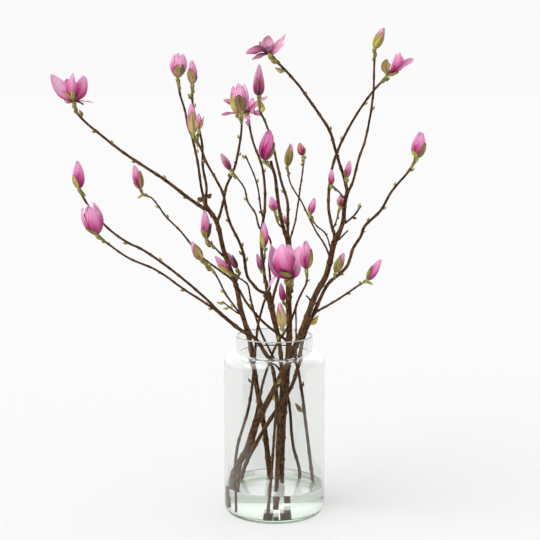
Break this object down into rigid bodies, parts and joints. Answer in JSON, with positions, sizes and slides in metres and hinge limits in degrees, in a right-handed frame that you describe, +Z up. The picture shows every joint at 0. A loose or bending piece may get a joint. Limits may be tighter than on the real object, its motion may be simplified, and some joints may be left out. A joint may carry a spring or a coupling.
{
  "type": "vase of saucer magnolia branches",
  "caption": "Cut saucer magnolia branches with pink buds and open flowers, standing in water in a round-shouldered clear glass vase.",
  "frame": {"origin": "middle of the vase's foot, on the surface that it stands on", "axes": "+Z up along the vase's axis, +X to the right and +Y away from the viewer in the picture"},
  "size_m": [0.6894, 0.3757, 0.92],
  "materials": {
    "glass": "clear pressed glass with a faint green edge",
    "water": "still clear water",
    "bark": "matt brown bark with pale scars",
    "tepal": "soft satin tepals, magenta at the base and pale pink at the tips, with felted olive bracts"
  },
  "bodies": {
    "root": {"vase": "glass", "water": "water", "branch_far_left": "bark", "far_left_open_flower": "tepal", "far_left_bud_1": "tepal", "far_left_bud_2": "tepal", "far_left_bud_3": "tepal", "far_left_bud_4": "tepal", "far_left_bud_5": "tepal", "far_left_full_flower": "tepal", "branch_low_left": "bark", "low_left_bud": "tepal", "low_left_full_bud": "tepal", "branch_slim_left": "bark", "slim_left_bud": "tepal", "branch_leafy_left": "bark", "leafy_left_bud": "tepal", "branch_thin_left": "bark", "thin_left_bud": "tepal", "branch_star": "bark", "star_flower": "tepal", "star_bud_1": "tepal", "star_bud_2": "tepal", "star_bud_3": "tepal", "star_bud_4": "tepal", "branch_thin_middle": "bark", "thin_middle_bud": "tepal", "branch_middle": "bark", "middle_cup_flower": "tepal", "middle_full_bud": "tepal", "middle_tall_bud": "tepal", "middle_bud_1": "tepal", "middle_bud_2": "tepal", "middle_bud_3": "tepal", "middle_bud_4": "tepal", "branch_slim_front": "bark", "slim_front_bud_1": "tepal", "slim_front_bud_2": "tepal", "branch_right": "bark", "right_open_flower": "tepal", "right_top_flower": "tepal", "right_bud_1": "tepal", "right_bud_2": "tepal", "right_bud_3": "tepal", "right_bud_4": "tepal", "right_bud_5": "tepal", "right_bud_6": "tepal", "branch_far_right": "bark", "far_right_bud_1": "tepal", "far_right_bud_2": "tepal", "far_right_bud_3": "tepal"}
  },
  "joints": []
}
